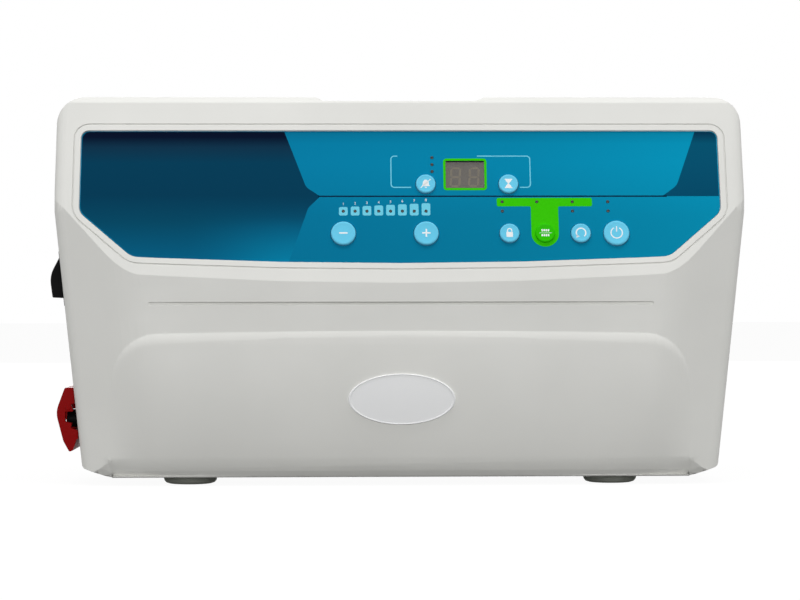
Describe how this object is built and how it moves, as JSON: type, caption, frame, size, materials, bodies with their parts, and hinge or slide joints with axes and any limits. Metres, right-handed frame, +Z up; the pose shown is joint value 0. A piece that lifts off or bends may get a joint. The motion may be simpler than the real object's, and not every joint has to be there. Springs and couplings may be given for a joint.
{
  "type": "air mattress pump",
  "caption": "Control unit of an alternating-pressure air mattress: leaning key panel, rocker switch, hose ports with a release latch, bed hooks, and the pump and valve inside.",
  "frame": {"origin": "middle of the object's footprint on the table, under the centre of its bounding box", "axes": "+X to the right as seen from the front, +Y to the back (the key panel faces -Y), +Z up"},
  "size_m": [0.3686, 0.133, 0.206],
  "materials": {
    "housing_plastic": "fine-textured off-white ABS",
    "overlay_print": "satin polycarbonate film, printed blue with a dark zone at the left",
    "window": "smoked clear window",
    "badge": "glossy white badge with a thin grey rim",
    "foot_rubber": "dark grey-green rubber",
    "key_cap": "light cyan key caps with a white edge ring",
    "circuit_board": "green solder mask",
    "display_body": "grey display module with pale segments",
    "lamp": "clear lamp lens",
    "black_plastic": "black moulded nylon",
    "latch_red": "dark red moulded plastic",
    "hook_plastic": "grey moulded nylon",
    "steel": "bright zinc-plated steel",
    "cover_plastic": "off-white ABS",
    "foam": "open-cell filter foam",
    "component": "board components",
    "laminations": "varnished electrical steel",
    "copper": "varnished copper windings under tape",
    "cable": "grey flat cable",
    "black_rubber": "black rubber",
    "sheet_steel": "zinc-plated sheet steel",
    "magnet_metal": "aluminium carrier with nickel-plated magnets",
    "head_plastic": "black glass-filled plastic",
    "valve_plastic": "natural acetal",
    "disc_plastic": "orange acetal",
    "silicone": "translucent silicone"
  },
  "bodies": {
    "housing": {"front_housing": "housing_plastic", "rear_cover": "housing_plastic", "panel_overlay": "overlay_print", "display_window": "window", "oval_badge": "badge", "rubber_feet": "foot_rubber", "display_board": "circuit_board", "display_module": "display_body", "indicator_lamps": "lamp", "key_switches": "black_plastic", "buzzer": "black_plastic", "switch_frame": "black_plastic", "port_block": "black_plastic", "port_seals": "black_rubber", "latch_pin": "steel", "hook_pins": "steel", "filter_cover": "cover_plastic", "filter_foam": "foam", "power_inlet": "black_plastic", "inlet_pins": "steel", "fuse_holders": "black_plastic", "fuse_caps": "black_plastic", "case_screws": "steel", "board_screws": "steel", "main_board": "circuit_board", "board_parts": "component", "transformer": "laminations", "ribbon_cable": "cable", "rubber_mounts": "black_rubber", "compressor_frame": "sheet_steel", "compressor_cores": "laminations", "compressor_coils": "copper", "diaphragms": "black_rubber", "left_valve_head": "head_plastic", "right_valve_head": "head_plastic", "valve_bracket": "sheet_steel", "valve_motor": "steel", "valve_body": "valve_plastic", "valve_cover": "valve_plastic", "left_head_tube": "silicone", "right_head_tube": "silicone", "port_tubes": "silicone"},
    "mute_key": {"mute_key": "key_cap"},
    "cycle_key": {"cycle_key": "key_cap"},
    "soft_key": {"soft_key": "key_cap"},
    "firm_key": {"firm_key": "key_cap"},
    "lock_key": {"lock_key": "key_cap"},
    "mode_key": {"mode_key": "key_cap"},
    "auto_key": {"auto_key": "key_cap"},
    "power_key": {"power_key": "key_cap"},
    "switch_rocker": {"switch_rocker": "black_plastic"},
    "release_latch": {"release_latch": "latch_red"},
    "left_hook": {"left_hook": "hook_plastic"},
    "right_hook": {"right_hook": "hook_plastic"},
    "magnet_armature": {"magnet_armature": "magnet_metal"},
    "valve_disc": {"valve_disc": "disc_plastic"}
  },
  "joints": [
    {"name": "mute_press", "type": "slide", "parent": "housing", "child": "mute_key", "axis": [0, 0.9563, -0.2924], "range_m": [0, 0.0006], "stiffness_N_per_m": 1500, "springref_m": -0.001},
    {"name": "cycle_press", "type": "slide", "parent": "housing", "child": "cycle_key", "axis": [0, 0.9563, -0.2924], "range_m": [0, 0.0006], "stiffness_N_per_m": 1500, "springref_m": -0.001},
    {"name": "soft_press", "type": "slide", "parent": "housing", "child": "soft_key", "axis": [0, 0.9563, -0.2924], "range_m": [0, 0.0006], "stiffness_N_per_m": 1500, "springref_m": -0.001},
    {"name": "firm_press", "type": "slide", "parent": "housing", "child": "firm_key", "axis": [0, 0.9563, -0.2924], "range_m": [0, 0.0006], "stiffness_N_per_m": 1500, "springref_m": -0.001},
    {"name": "lock_press", "type": "slide", "parent": "housing", "child": "lock_key", "axis": [0, 0.9563, -0.2924], "range_m": [0, 0.0006], "stiffness_N_per_m": 1500, "springref_m": -0.001},
    {"name": "mode_press", "type": "slide", "parent": "housing", "child": "mode_key", "axis": [0, 0.9563, -0.2924], "range_m": [0, 0.0006], "stiffness_N_per_m": 1500, "springref_m": -0.001},
    {"name": "auto_press", "type": "slide", "parent": "housing", "child": "auto_key", "axis": [0, 0.9563, -0.2924], "range_m": [0, 0.0006], "stiffness_N_per_m": 1500, "springref_m": -0.001},
    {"name": "power_press", "type": "slide", "parent": "housing", "child": "power_key", "axis": [0, 0.9563, -0.2924], "range_m": [0, 0.0006], "stiffness_N_per_m": 1500, "springref_m": -0.001},
    {"name": "rocker_swing", "type": "hinge", "parent": "housing", "child": "switch_rocker", "pos_m": [-0.17852, -0.028, 0.10906], "axis": [0, -1, 0], "range_deg": [0, 32]},
    {"name": "latch_swing", "type": "hinge", "parent": "housing", "child": "release_latch", "pos_m": [-0.1727, -0.02, 0.0484], "axis": [0, 1, 0], "range_deg": [0, 70], "stiffness_Nm_per_rad": 0.03, "springref_deg": -28.65},
    {"name": "left_hook_swing", "type": "hinge", "parent": "housing", "child": "left_hook", "pos_m": [-0.15, 0.0605, 0.147], "axis": [0, 0, 1], "range_deg": [0, 90]},
    {"name": "right_hook_swing", "type": "hinge", "parent": "housing", "child": "right_hook", "pos_m": [0.15, 0.0605, 0.147], "axis": [0, 0, -1], "range_deg": [0, 90]},
    {"name": "armature_stroke", "type": "slide", "parent": "housing", "child": "magnet_armature", "axis": [1, 0, 0], "range_m": [-0.0015, 0.0015], "stiffness_N_per_m": 12000, "deforming": ["diaphragms"]},
    {"name": "valve_turn", "type": "hinge", "parent": "housing", "child": "valve_disc", "pos_m": [-0.112, -0.006, 0.068], "axis": [0, 0, 1], "continuous": true}
  ]
}
